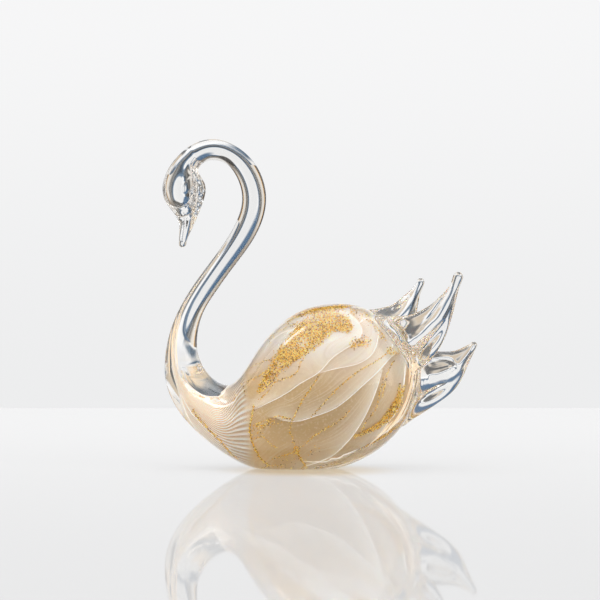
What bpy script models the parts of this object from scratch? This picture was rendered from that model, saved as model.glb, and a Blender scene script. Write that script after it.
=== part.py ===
"""A swan of clear furnace glass, standing on the flat of its belly.

The swan faces -X, its left and right sides are -Y and +Y, and +Z is up. The origin is on the
ground, in the middle of the swan's outline. It is one solid: the gather that was blown and drawn
out into breast, neck, head and beak, with three hot bits pressed on behind as tail feathers.

Its pose and proportions are shares of its height, in hundredths. A station is one cross section.
It runs from the lower or breast side, (x, z), to the upper or back side, (x, z), and width is
its size across the swan.
"""

import math

import bpy
import bmesh
import numpy as np

HEIGHT = 0.170
SHARE = HEIGHT / 100

# From the tip of the beak, over the crown and down the neck, through the body to the rump.
# pinch is how much thinner the breast side is than the back, as the throat is under the head.
SWAN = (
    # breast side, back side, width, pinch
    ((-40.7, 67.1), (-42.7, 66.9), 2.2, 0.0),
    ((-40.5, 68.8), (-42.8, 68.6), 2.3, 0.0),
    ((-39.4, 71.6), (-42.7, 71.4), 3.2, 0.05),
    ((-37.9, 74.8), (-43.0, 75.0), 5.0, 0.2),
    ((-36.8, 77.4), (-44.4, 77.5), 6.9, 0.4),
    ((-35.6, 80.6), (-46.7, 80.6), 8.9, 0.55),
    ((-34.7, 84.6), (-47.8, 84.4), 9.9, 0.6),
    ((-35.7, 88.0), (-47.2, 88.4), 9.5, 0.55),
    ((-36.9, 90.1), (-45.6, 91.7), 8.6, 0.4),
    ((-36.2, 92.0), (-42.6, 95.4), 7.9, 0.2),
    ((-34.4, 93.3), (-38.2, 98.6), 7.2, 0.05),
    ((-32.1, 93.6), (-32.6, 100.0), 6.6, 0.0),
    ((-28.3, 92.4), (-25.0, 97.6), 6.5, 0.0),
    ((-25.2, 88.4), (-19.2, 91.8), 6.9, 0.0),
    ((-23.6, 81.4), (-16.3, 81.0), 7.3, 0.0),
    ((-25.5, 74.6), (-19.2, 71.3), 7.1, 0.0),
    ((-31.1, 65.5), (-25.9, 61.5), 6.5, 0.0),
    ((-37.2, 57.3), (-31.8, 53.3), 6.7, 0.0),
    ((-42.2, 49.3), (-35.7, 46.6), 7.3, 0.0),
    ((-45.6, 41.0), (-37.3, 39.4), 8.6, 0.0),
    ((-47.0, 33.4), (-36.9, 34.4), 10.6, 0.0),
    ((-46.8, 26.4), (-35.3, 30.6), 13.4, 0.0),
    ((-44.6, 20.2), (-32.9, 27.6), 17.0, 0.0),
    ((-40.1, 13.8), (-30.1, 25.7), 21.8, 0.0),
    ((-33.2, 7.5), (-27.2, 25.4), 28.0, 0.0),
    ((-24.4, 1.8), (-23.8, 28.4), 35.5, 0.0),
    ((-14.5, -0.9), (-19.4, 35.2), 41.5, 0.0),
    ((-4.5, -1.2), (-13.6, 42.3), 44.0, 0.0),
    ((5.0, -0.1), (-6.3, 47.5), 43.4, 0.0),
    ((14.0, 3.3), (2.0, 49.8), 40.6, 0.0),
    ((21.6, 8.8), (11.0, 49.4), 36.4, 0.0),
    ((27.3, 15.6), (19.6, 45.6), 31.6, 0.0),
    ((31.8, 22.5), (28.0, 38.3), 27.5, 0.0),
)
BEAK_ROUNDING = 1.1
RUMP_ROUNDING = 12.0

# Each feather's stations run from its root in the rump to the ball at its tip. hollow is how
# much thinner it is on either side of its vein, and side where its middle lies across the swan.
FEATHERS = {
    "near_feather": (
        # lower edge, upper edge, width, hollow, side
        ((23.0, 29.5), (12.5, 44.0), 9.0, 0.2, -5.5),
        ((31.0, 31.0), (19.8, 46.2), 8.6, 0.35, -6.3),
        ((35.1, 35.2), (25.8, 46.4), 7.4, 0.45, -7.0),
        ((37.6, 39.8), (30.5, 48.0), 6.2, 0.45, -7.6),
        ((39.3, 44.8), (34.2, 50.4), 5.0, 0.4, -8.1),
        ((40.6, 49.8), (37.1, 53.2), 4.0, 0.25, -8.5),
        ((42.0, 55.4), (39.4, 56.4), 3.0, 0.05, -8.9),
        ((42.9, 57.6), (40.1, 58.6), 3.0, 0.0, -9.0),
        ((43.2, 58.9), (40.6, 59.9), 3.0, 0.0, -9.0),
    ),
    "far_feather": (
        ((20.0, 33.0), (11.5, 46.0), 8.6, 0.2, 5.5),
        ((25.8, 38.6), (17.8, 48.4), 8.0, 0.35, 6.6),
        ((28.6, 43.2), (22.6, 49.8), 6.8, 0.45, 7.6),
        ((30.0, 47.6), (25.7, 52.2), 5.4, 0.4, 8.5),
        ((30.7, 51.5), (28.0, 54.2), 4.0, 0.25, 9.3),
        ((31.7, 54.6), (29.6, 56.2), 3.0, 0.05, 9.9),
        ((32.4, 56.4), (30.0, 57.0), 2.7, 0.0, 10.1),
        ((32.6, 57.5), (30.2, 58.1), 2.7, 0.0, 10.2),
    ),
    "low_feather": (
        ((21.0, 11.5), (20.0, 36.0), 9.6, 0.1, 0.6),
        ((29.0, 15.2), (27.6, 36.0), 9.0, 0.35, 0.8),
        ((36.0, 19.7), (33.6, 35.6), 8.0, 0.5, 1.0),
        ((40.4, 23.1), (38.0, 35.4), 6.8, 0.5, 1.1),
        ((43.4, 27.2), (41.6, 35.8), 5.4, 0.4, 1.2),
        ((45.2, 31.4), (44.2, 36.9), 4.0, 0.2, 1.2),
        ((46.7, 34.6), (45.5, 37.6), 3.0, 0.0, 1.2),
        ((47.8, 36.6), (46.4, 38.3), 2.7, 0.0, 1.2),
        ((48.4, 37.3), (47.0, 38.8), 2.7, 0.0, 1.2),
    ),
}
FEATHER_ROOT_ROUNDING = 2.0
FEATHER_TIP_ROUNDING = 1.4
# Below 1, a feather's edge is fuller than an ellipse's.
FEATHER_EDGE = 0.75

# Rings along a form between its rounded ends, on each rounded end, and points round a ring.
SWAN_RINGS, SWAN_POINTS = 84, 32
FEATHER_RINGS, FEATHER_POINTS = 14, 20
END_RINGS = 5

GLASS_COLOUR = (0.93, 0.95, 0.96, 1.0)
GLASS_IOR = 1.5


def clear_scene():
    for old in list(bpy.data.objects):
        bpy.data.objects.remove(old)


def collection_named(name):
    made = bpy.data.collections.new(name)
    bpy.context.scene.collection.children.link(made)
    return made


def smooth_through(knots, values, places):
    """A natural cubic spline through values at knots, read at places."""
    steps = np.diff(knots)
    count = len(knots)
    matrix = np.eye(count)
    right = np.zeros((count, values.shape[1]))
    for i in range(1, count - 1):
        matrix[i, i - 1 : i + 2] = steps[i - 1], 2 * (steps[i - 1] + steps[i]), steps[i]
        slopes = (values[i + 1] - values[i]) / steps[i] - (values[i] - values[i - 1]) / steps[i - 1]
        right[i] = 6 * slopes
    bends = np.linalg.solve(matrix, right)
    k = np.clip(np.searchsorted(knots, places) - 1, 0, count - 2)
    step = steps[k][:, None]
    before = (places - knots[k])[:, None]
    after = step - before
    curved = (bends[k + 1] * before**3 + bends[k] * after**3) / (6 * step)
    ahead = (values[k + 1] / step - bends[k + 1] * step / 6) * before
    return curved + ahead + (values[k] / step - bends[k] * step / 6) * after


def ring_places(length, start_round, end_round, rings):
    """Where rings stand along a form, closer together on its rounded ends."""
    turn = np.linspace(0, math.pi / 2, END_RINGS + 1)
    start = start_round * (1 - np.cos(turn))
    middle = np.linspace(start_round, length - end_round, rings + 1)[1:-1]
    end = length - end_round * (1 - np.cos(turn[::-1]))
    return np.concatenate([start, middle, end])


def rounding(places, length, start_round, end_round):
    """1 along a form, and falling to 0 at both ends as an ellipse does."""
    into_start = np.clip((start_round - places) / start_round, 0, 1)
    into_end = np.clip((places - (length - end_round)) / end_round, 0, 1)
    return np.sqrt((1 - into_start**2) * (1 - into_end**2))


def lofted(name, stations, section, rounds, rings, points):
    """A closed mesh through the stations.

    section turns an angle and the station's own detail into shares of its height and width.
    """
    rows = np.array([(*low, *high, wide, side) for low, high, wide, _, side in stations]) * SHARE
    details = np.array([[station[3]] for station in stations])
    centres = (rows[:, 0:2] + rows[:, 2:4]) / 2
    halves = (rows[:, 2:4] - rows[:, 0:2]) / 2
    gaps = np.hypot(*np.diff(centres, axis=0).T)
    knots = np.concatenate([[0], np.cumsum(gaps)])
    length = knots[-1]
    start_round, end_round = (share * SHARE for share in rounds)
    places = ring_places(length, start_round, end_round, rings)
    columns = np.column_stack([centres, halves, rows[:, 4:], details])
    tracks = smooth_through(knots, columns, places)
    shrink = rounding(places, length, start_round, end_round)

    mesh = bpy.data.meshes.new(name)
    build = bmesh.new()
    loops = []
    for (cx, cz, hx, hz, wide, side, detail), size in zip(tracks, shrink):
        if size < 1e-6:
            loops.append([build.verts.new((cx, side, cz))])
            continue
        loop = []
        for angle in np.linspace(0, 2 * math.pi, points, endpoint=False):
            up, across = section(angle, max(detail, 0))
            out = side + across * size * wide / 2
            loop.append(build.verts.new((cx + up * size * hx, out, cz + up * size * hz)))
        loops.append(loop)
    for first, second in zip(loops, loops[1:]):
        for i in range(points):
            corners = [first[i % len(first)], first[(i + 1) % len(first)]]
            corners += [second[(i + 1) % len(second)], second[i % len(second)]]
            build.faces.new(list(dict.fromkeys(corners)))
    bmesh.ops.recalc_face_normals(build, faces=build.faces[:])
    build.to_mesh(mesh)
    build.free()
    return bpy.data.objects.new(name, mesh)


def pinched_section(angle, pinch):
    """An ellipse, thinner on the breast side."""
    up = math.sin(angle)
    low = max(-up, 0)
    return up, math.cos(angle) * (1 - pinch * low * (2 - low))


def leaf_section(angle, hollow):
    """A leaf standing on edge, with a vein along its middle."""
    up = math.sin(angle)
    across = math.cos(angle)
    full = math.copysign(abs(across) ** FEATHER_EDGE, across)
    return up, full * (1 - hollow * math.sin(math.pi * up) ** 2)


def swan_form():
    stations = [(*station, 0.0) for station in SWAN]
    rounds = (BEAK_ROUNDING, RUMP_ROUNDING)
    return lofted("glass_swan", stations, pinched_section, rounds, SWAN_RINGS, SWAN_POINTS)


def feather(name):
    rounds = (FEATHER_ROOT_ROUNDING, FEATHER_TIP_ROUNDING)
    stations = FEATHERS[name]
    return lofted(name, stations, leaf_section, rounds, FEATHER_RINGS, FEATHER_POINTS)


def ground_block():
    """A block under the ground, as large as the swan, that grinds the belly's flat."""
    build = bmesh.new()
    bmesh.ops.create_cube(build, size=2 * HEIGHT)
    bmesh.ops.translate(build, verts=build.verts[:], vec=(0, 0, -HEIGHT))
    mesh = bpy.data.meshes.new("ground")
    build.to_mesh(mesh)
    build.free()
    return bpy.data.objects.new("ground", mesh)


def helper(obj, helpers):
    helpers.objects.link(obj)
    obj.hide_render = True
    obj.display_type = "WIRE"
    return obj


def boolean(obj, operation, other):
    modifier = obj.modifiers.new(f"{operation.lower()} {other.name}", "BOOLEAN")
    modifier.operation = operation
    modifier.solver = "EXACT"
    modifier.object = other


def clear_glass():
    material = bpy.data.materials.new("clear_glass")
    material.use_nodes = True
    shader = material.node_tree.nodes["Principled BSDF"]
    shader.inputs["Base Color"].default_value = GLASS_COLOUR
    shader.inputs["Roughness"].default_value = 0.0
    shader.inputs["Metallic"].default_value = 0.0
    shader.inputs["Transmission Weight"].default_value = 1.0
    shader.inputs["IOR"].default_value = GLASS_IOR
    return material


def main():
    clear_scene()
    parts = collection_named("Glass swan")
    helpers = collection_named("Helpers")
    swan = swan_form()
    parts.objects.link(swan)
    for name in FEATHERS:
        boolean(swan, "UNION", helper(feather(name), helpers))
    boolean(swan, "DIFFERENCE", helper(ground_block(), helpers))
    swan.data.materials.append(clear_glass())
    swan.data.shade_smooth()


main()
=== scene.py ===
"""Dresses the glass swan: fine clear glass, the ribbed veil, white threads and gold leaf sealed
in it, a pale glossy table and soft studio light.

The swan faces -X. Its proportions are shares of its height, in hundredths. Marks that the
photograph shows inside the glass are given by the pixel where they are seen, in its 600 x 600
frame, and are placed by following the line of sight through the surface of the glass.
"""

import math

import bmesh
import bpy
import numpy as np
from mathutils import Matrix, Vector
from mathutils.bvhtree import BVHTree
from mathutils.kdtree import KDTree


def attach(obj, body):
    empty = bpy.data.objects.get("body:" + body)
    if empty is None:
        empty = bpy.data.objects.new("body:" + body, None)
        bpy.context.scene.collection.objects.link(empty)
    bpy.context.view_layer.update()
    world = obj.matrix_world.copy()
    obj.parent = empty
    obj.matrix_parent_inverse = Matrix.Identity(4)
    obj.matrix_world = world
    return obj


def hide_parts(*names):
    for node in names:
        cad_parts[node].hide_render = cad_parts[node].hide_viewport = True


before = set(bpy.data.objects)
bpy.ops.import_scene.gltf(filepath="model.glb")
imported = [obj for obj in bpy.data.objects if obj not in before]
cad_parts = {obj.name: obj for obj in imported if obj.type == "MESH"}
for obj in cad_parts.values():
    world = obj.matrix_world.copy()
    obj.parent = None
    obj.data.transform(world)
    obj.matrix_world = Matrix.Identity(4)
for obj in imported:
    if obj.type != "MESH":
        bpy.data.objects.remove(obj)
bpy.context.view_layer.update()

HEIGHT = 0.170
SHARE = HEIGHT / 100
MM = 0.001
GLASS_IOR = 1.5

# The camera stands level, and sees PIXELS pixels across its sensor.
CAMERA_PLACE = Vector((-0.0102, -1.2, 0.0868))
CAMERA_SENSOR = 36.0
CAMERA_LENS = 139.3
PIXELS = 600
FOCAL_PIXELS = PIXELS * CAMERA_LENS / CAMERA_SENSOR
PIXEL_SIZE = 1.2 / FOCAL_PIXELS

# The table: half its width, and how near and far it reaches.
TABLE = (0.30, -1.1, 0.67)
TABLE_DROP = -0.2 * MM
TABLE_GLOSS = 0.26
# Light that the glass gathers on the table, painted on as a warm tone in front of the ground flat.
PAINTED_CAUSTIC_SPOT = (-0.006, -0.014, 0.0)
PAINTED_CAUSTIC_REACH = (0.052, 0.016)
PAINTED_CAUSTIC_TONE = (0.80, 0.68, 0.51)
# Most of the table's matt part glows in its own tone, painted light that keeps shadows on it faint.
TABLE_PAINTED_GLOW = 0.84
TABLE_PAINTED_GLOW_SHARE = 0.8

# Soft boxes: the way to each, the way of its length, half its length and width, brightness.
SOFT_BOXES = (
    ((-0.47, 0.13, 0.87), (0.78, 0.0, 0.62), (0.10, 0.03), 11.0),
)

SOFT_BOX_EDGE = 0.09
SOFT_BOX_SIDE = (0.3, 0.5)
# What is seen through the glass, by the angle in degrees away from straight ahead.
SKY_IN_GLASS = (
    (13.5, (0.86, 0.86, 0.855)), (15.5, (0.13, 0.21, 0.31)), (18.0, (0.025, 0.045, 0.07)),
    (20.5, (0.11, 0.12, 0.13)), (22.5, (0.24, 0.235, 0.22)), (24.5, (0.045, 0.042, 0.04)),
    (27.5, (0.30, 0.28, 0.25)), (33.0, (0.80, 0.76, 0.70)), (43.0, (0.86, 0.80, 0.72)),
    (47.0, (1.0, 0.70, 0.38)), (51.0, (0.22, 0.13, 0.07)), (60.0, (0.045, 0.032, 0.022)),
    (100.0, (0.10, 0.075, 0.055)), (118.0, (1.5, 1.42, 1.32)), (134.0, (1.2, 1.12, 1.0)),
    (148.0, (0.14, 0.13, 0.12)),
)
SKY_LIFT = 10.0
SKY_ABOVE = (0.20, 0.165, 0.13)
SKY_ABOVE_SHARE = (0.3, 0.8)
SKY_ABOVE_BAND = (42.0, 11.0, 4.0)
SKY_TOP = (0.84, 0.82, 0.79)
SKY_TOP_RISE = (0.60, 0.74)
DARK_FLAG = (0.22, 0.86, 0.47)
DARK_FLAG_EDGE = (0.972, 0.988)
DARK_FLAG_TONE = (0.050, 0.047, 0.042)
# A blue card high on the left.
BLUE_CARD = (-0.28, 0.90, 0.30)
BLUE_CARD_EDGE = (0.972, 0.994)
BLUE_CARD_TONE = (0.07, 0.15, 0.26)
# Dark and pale patches painted on the table, seen only through the glass as painted shade and
# light: middle, half and soft edge across and along, tone.
PAINTED_TABLE_PATCHES = (
    ((-0.195, 0.025, 0.055), (0.245, 0.08, 0.12), (0.09, 0.15, 0.22)),
    ((-0.036, 0.009, 0.016), (0.105, 0.035, 0.03), (0.12, 0.145, 0.17)),
    ((0.042, 0.012, 0.016), (0.20, 0.08, 0.12), (0.15, 0.152, 0.155)),
    ((0.062, 0.026, 0.030), (0.105, 0.03, 0.05), (0.13, 0.13, 0.13)),
    ((0.102, 0.030, 0.025), (0.25, 0.045, 0.05), (0.66, 0.55, 0.42)),
)
# The tone painted on the table where it is seen through the glass, by distance from the middle:
# painted shade close round the swan and paler further off, then the sky's tones beyond TABLE_FAR,
# with a painted blue ring at BLUE_EDGE.
TABLE_IN_GLASS = (
    (0.040, (0.62, 0.50, 0.38)), (0.060, (0.13, 0.09, 0.06)), (0.084, (0.23, 0.26, 0.28)),
    (0.093, (0.36, 0.35, 0.33)), (0.102, (0.68, 0.57, 0.43)), (0.118, (0.92, 0.70, 0.46)),
    (0.145, (0.82, 0.79, 0.74)), (0.27, (0.86, 0.86, 0.86)), (0.38, (1.0, 1.0, 1.0)),
)
TABLE_FAR = (0.30, 0.60)
BLUE_EDGE = (0.60, 0.04, 0.06)
BLUE_EDGE_TONE = (0.08, 0.14, 0.22)
# The table's tone, darker towards the front as painted shade, and where one passes to the other.
TABLE_TONE = (0.90, 0.90, 0.90)
TABLE_PAINTED_SHADE_FRONT = (0.775, 0.775, 0.775)
TABLE_FRONT = (0.5, -0.7)
TABLE_ROUGHNESS = 0.03

# The studio that lights matt surfaces and is mirrored, in degrees aside and in degrees up.
STUDIO_FLAGS = (
    (14.0, (0.95, 0.96, 0.98)), (16.5, (0.24, 0.32, 0.42)), (20.0, (0.13, 0.15, 0.19)),
    (26.0, (0.20, 0.21, 0.23)), (38.0, (0.72, 0.71, 0.70)), (52.0, (0.85, 0.82, 0.78)),
    (57.0, (0.95, 0.74, 0.46)), (62.0, (0.30, 0.19, 0.10)), (75.0, (0.10, 0.07, 0.05)),
    (90.0, (0.14, 0.11, 0.09)),
)
STUDIO_FLOOR = (
    (-40.0, (0.45, 0.45, 0.46)), (-17.0, (0.36, 0.37, 0.39)), (-9.0, (0.12, 0.145, 0.18)),
    (-4.5, (0.10, 0.14, 0.20)), (-2.0, (0.22, 0.33, 0.46)), (-0.5, (0.95, 0.96, 0.98)),
)
STUDIO_LOW = (30.0, 40.0)
STUDIO_BELOW = (-1.5, -0.5)
STUDIO_UPPER = (0.90, 0.90, 0.92)
STUDIO_BAND = (38.0, 3.0, 6.0)
STUDIO_BAND_TONE = (0.22, 0.20, 0.18)
STUDIO_TOP = (2.6, 2.6, 2.62)
STUDIO_TOP_RISE = (46.0, 62.0)
# The dim side with its panels: how far round it starts, and the gap between them.
CAMERA_SIDE = (0.20, 0.40)
PANEL_TURN = (-0.3, 0.5)
PANEL_GAP_EDGE = (15.0, 50.0)
PANEL_LEFT = (2.1, 2.06, 2.0)
PANEL_RIGHT = (2.6, 2.56, 2.5)
PANEL_GAP = (0.6, 0.6, 0.6)
# The backdrop that the camera sees, low and high, and the degrees between.
BACKDROP_RISE = (-3.0, 8.0)
BACKDROP = ((0.847, 0.850, 0.855, 1), (0.925, 0.925, 0.93, 1))

# Ripples in the clear glass: how close together, and how strong and deep as a bump.
GLASS_RIPPLES = 90.0
GLASS_BUMP = (0.05, 0.001)
# The veil from low to high, paler high up as painted light from above, and the heights between.
VEIL_LOW_PAINTED_SHADE = (0.95, 0.69, 0.36)
VEIL_HIGH_PAINTED_LIGHT = (0.98, 0.89, 0.82)
VEIL_HEIGHTS = (0.034, 0.064)
# The tan pool in it, deeper colour where the veil is thick and partly painted shade: middle and
# reach along and up, soft edge, share and tone.
POOL_ALONG = (-0.003, 0.039)
POOL_UP = (0.031, 0.021)
POOL_EDGE = (0.1, 1.5)
POOL_TINT_AND_SHADE = (0.88, (0.58, 0.395, 0.18))
# Silky streaks: how fine across, along and up, then where they show, share and tone.
SILK_SCALES = (13.0, 24.0, 24.0)
SILK = (
    ((0.50, 0.66), (0.34, (1.0, 0.90, 0.74))),
    ((0.48, 0.34), (0.20, (0.60, 0.42, 0.21))),
)
# Shares and tones of the breast, paler partly as painted light; painted shade between its ribs and
# under petals; painted highlights on crests; ribs pale, partly painted highlight; specks.
VEIL_TONES_AND_PAINTED_LIGHT = (
    (0.85, (1.0, 0.86, 0.68)),
    (0.85, (0.64, 0.43, 0.24)),
    (0.8, (0.60, 0.41, 0.19)),
    (0.8, (1.0, 0.92, 0.80)),
    (0.95, (1.0, 0.97, 0.90)),
    (0.22, (1.0, 0.88, 0.66)),
)
RIB_EDGE = (0.15, 0.75)
SPECKS = 900.0
SPECK_EDGE = (0.52, 0.70)
# Leaf from deep to pale gold, and the shares of flakes between.
GOLD_TONES = ((0.20, 0.08, 0.003, 1), (0.84, 0.46, 0.02, 1), (1.0, 0.84, 0.26))
GOLD_STEPS = ((0.12, 0.40), (0.60, 0.82))

# From the tip of the beak, over the crown and down the neck, through the body to the rump.
SWAN = (
    # breast side, back side, width, pinch
    ((-40.7, 67.1), (-42.7, 66.9), 2.2, 0.0),
    ((-40.5, 68.8), (-42.8, 68.6), 2.3, 0.0),
    ((-39.4, 71.6), (-42.7, 71.4), 3.2, 0.05),
    ((-37.9, 74.8), (-43.0, 75.0), 5.0, 0.2),
    ((-36.8, 77.4), (-44.4, 77.5), 6.9, 0.4),
    ((-35.6, 80.6), (-46.7, 80.6), 8.9, 0.55),
    ((-34.7, 84.6), (-47.8, 84.4), 9.9, 0.6),
    ((-35.7, 88.0), (-47.2, 88.4), 9.5, 0.55),
    ((-36.9, 90.1), (-45.6, 91.7), 8.6, 0.4),
    ((-36.2, 92.0), (-42.6, 95.4), 7.9, 0.2),
    ((-34.4, 93.3), (-38.2, 98.6), 7.2, 0.05),
    ((-32.1, 93.6), (-32.6, 100.0), 6.6, 0.0),
    ((-28.3, 92.4), (-25.0, 97.6), 6.5, 0.0),
    ((-25.2, 88.4), (-19.2, 91.8), 6.9, 0.0),
    ((-23.6, 81.4), (-16.3, 81.0), 7.3, 0.0),
    ((-25.5, 74.6), (-19.2, 71.3), 7.1, 0.0),
    ((-31.1, 65.5), (-25.9, 61.5), 6.5, 0.0),
    ((-37.2, 57.3), (-31.8, 53.3), 6.7, 0.0),
    ((-42.2, 49.3), (-35.7, 46.6), 7.3, 0.0),
    ((-45.6, 41.0), (-37.3, 39.4), 8.6, 0.0),
    ((-47.0, 33.4), (-36.9, 34.4), 10.6, 0.0),
    ((-46.8, 26.4), (-35.3, 30.6), 13.4, 0.0),
    ((-44.6, 20.2), (-32.9, 27.6), 17.0, 0.0),
    ((-40.1, 13.8), (-30.1, 25.7), 21.8, 0.0),
    ((-33.2, 7.5), (-27.2, 25.4), 28.0, 0.0),
    ((-24.4, 1.8), (-23.8, 28.4), 35.5, 0.0),
    ((-14.5, -0.9), (-19.4, 35.2), 41.5, 0.0),
    ((-4.5, -1.2), (-13.6, 42.3), 44.0, 0.0),
    ((5.0, -0.1), (-6.3, 47.5), 43.4, 0.0),
    ((14.0, 3.3), (2.0, 49.8), 40.6, 0.0),
    ((21.6, 8.8), (11.0, 49.4), 36.4, 0.0),
    ((27.3, 15.6), (19.6, 45.6), 31.6, 0.0),
    ((31.8, 22.5), (28.0, 38.3), 27.5, 0.0),
)
SWAN_ROUNDINGS = (1.1, 12.0)

FEATHERS = {
    "near_feather": (
        # lower edge, upper edge, width, hollow, side
        ((23.0, 29.5), (12.5, 44.0), 9.0, 0.2, -5.5),
        ((31.0, 31.0), (19.8, 46.2), 8.6, 0.35, -6.3),
        ((35.1, 35.2), (25.8, 46.4), 7.4, 0.45, -7.0),
        ((37.6, 39.8), (30.5, 48.0), 6.2, 0.45, -7.6),
        ((39.3, 44.8), (34.2, 50.4), 5.0, 0.4, -8.1),
        ((40.6, 49.8), (37.1, 53.2), 4.0, 0.25, -8.5),
        ((42.0, 55.4), (39.4, 56.4), 3.0, 0.05, -8.9),
        ((42.9, 57.6), (40.1, 58.6), 3.0, 0.0, -9.0),
        ((43.2, 58.9), (40.6, 59.9), 3.0, 0.0, -9.0),
    ),
    "far_feather": (
        ((20.0, 33.0), (11.5, 46.0), 8.6, 0.2, 5.5),
        ((25.8, 38.6), (17.8, 48.4), 8.0, 0.35, 6.6),
        ((28.6, 43.2), (22.6, 49.8), 6.8, 0.45, 7.6),
        ((30.0, 47.6), (25.7, 52.2), 5.4, 0.4, 8.5),
        ((30.7, 51.5), (28.0, 54.2), 4.0, 0.25, 9.3),
        ((31.7, 54.6), (29.6, 56.2), 3.0, 0.05, 9.9),
        ((32.4, 56.4), (30.0, 57.0), 2.7, 0.0, 10.1),
        ((32.6, 57.5), (30.2, 58.1), 2.7, 0.0, 10.2),
    ),
    "low_feather": (
        ((21.0, 11.5), (20.0, 36.0), 9.6, 0.1, 0.6),
        ((29.0, 15.2), (27.6, 36.0), 9.0, 0.35, 0.8),
        ((36.0, 19.7), (33.6, 35.6), 8.0, 0.5, 1.0),
        ((40.4, 23.1), (38.0, 35.4), 6.8, 0.5, 1.1),
        ((43.4, 27.2), (41.6, 35.8), 5.4, 0.4, 1.2),
        ((45.2, 31.4), (44.2, 36.9), 4.0, 0.2, 1.2),
        ((46.7, 34.6), (45.5, 37.6), 3.0, 0.0, 1.2),
        ((47.8, 36.6), (46.4, 38.3), 2.7, 0.0, 1.2),
        ((48.4, 37.3), (47.0, 38.8), 2.7, 0.0, 1.2),
    ),
}
FEATHER_ROUNDINGS = (2.0, 1.4)
FEATHER_EDGE = 0.75
# A feather's root swells by so much where it meets the body, over so far.
ROOT_FLARE = 1.6 * MM
ROOT_REACH = 6.0 * MM

# How many rings the head, the neck, its root and the body have, and the stations between them.
RING_COUNTS = (190, 70, 110, 90)
RING_STOPS = (12.5, 19.5, 25.2)
SWAN_POINTS, SWAN_END_RINGS = 128, 16
# The rings bulge this much less than they might, to keep within the solid's box.
FIT = 0.9998
# Seams between the fused forms are evened out over so far, in so many rounds.
SEAM_TOLERANCE = 0.01 * MM
FILLET_REACH = 3.2 * MM
FILLET_ROUNDS = 24
FILLET_RATE = 0.6
FEATHER_RINGS, FEATHER_POINTS, FEATHER_END_RINGS = 90, 64, 12

# The veil, by the number of the swan's station that it passes: where it starts and ends from
# the breast side, -1, to the back side, 1, and its share of the swan's width.
VEIL = (
    # station, start, end, width
    (16.6, -0.60, -0.54, 0.08),
    (17.5, -0.58, -0.48, 0.16),
    (18.5, -0.52, -0.42, 0.24),
    (19.5, -0.42, -0.32, 0.32),
    (20.5, -0.34, -0.22, 0.36),
    (21.5, -0.31, -0.13, 0.38),
    (22.5, -0.32, -0.06, 0.42),
    (23.5, -0.36, 0.04, 0.47),
    (24.2, -0.42, 0.12, 0.52),
    (24.6, -0.46, 0.30, 0.56),
    (25.0, -0.50, 0.62, 0.60),
    (26.0, -0.58, 0.69, 0.66),
    (27.5, -0.65, 0.71, 0.70),
    (28.8, -0.65, 0.70, 0.68),
    (29.9, -0.59, 0.70, 0.64),
    (30.9, -0.46, 0.63, 0.54),
)
VEIL_ROUNDINGS = (3.0, 8.0)
VEIL_RINGS, VEIL_POINTS, VEIL_END_RINGS = 330, 240, 24
BREAST_RIBS = 44
BREAST_RIB_DEPTH = 0.80 * MM
BREAST_RIBS_END = (25.25, 25.7)
PETAL_DEPTH = 1.1 * MM
# Fine streaks follow the petals' edges: how near an edge draws them along with it, in pixels.
GRAIN_REACH = 6.0
# In pixels: how far the shade under a petal's edge and the crest before it reach.
PETAL_SHADE_REACH = 9.0
PETAL_CREST_REACH = 9.0
PETAL_END_FADE = 8.0
RIB_TURN = -0.5
ROOM_FOR_RELIEF = 12 * MM
# The grid of pixels that the veil is looked for in.
SEEN_ACROSS = (158, 428)
SEEN_DOWN = (240, 474)
SEEN_STEP = 3
SEEN_NEIGHBOURS = 10

# What the photograph shows inside the glass, by the pixels where it is seen.
# The edges of the veil's petals, from low left to high right, and how bold each is.
PETAL_EDGES = (
    (0.7, ((252, 410), (270, 402), (285, 394), (304, 381), (319, 372), (331, 359), (348, 347),
           (359, 338), (362, 331), (359, 323), (352, 315))),
    (0.6, ((319, 373), (338, 368), (359, 363), (372, 354), (377, 343), (378, 329), (374, 317))),
    (1.0, ((278, 419), (298, 421), (312, 417), (331, 410), (346, 400), (364, 384), (381, 368),
           (390, 358), (399, 351))),
    (1.1, ((300, 467), (312, 464), (331, 456), (346, 443), (359, 426), (370, 405), (377, 387),
           (382, 370))),
    (0.8, ((322, 466), (351, 457), (372, 443), (387, 424), (399, 406), (404, 384), (406, 366),
           (408, 347))),
)
# White threads that mark no petal, and their radii in mm.
WHITE_THREADS = (
    (0.34, ((186, 383), (197, 396), (207, 403), (220, 407), (231, 404), (237, 397), (235, 391))),
    (0.36, ((365, 309), (374, 316), (383, 326), (389, 335), (397, 341))),
    (0.28, ((383, 316), (394, 325), (403, 334), (407, 345), (406, 360), (404, 378), (402, 395))),
    (0.34, ((392, 352), (393, 342), (398, 336), (404, 338), (407, 346))),
    (0.18, ((241, 377), (251, 358), (269, 338), (285, 322), (301, 312), (320, 307))),
    (0.16, ((180, 392), (190, 410), (204, 427), (220, 441), (238, 456))),
)
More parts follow.
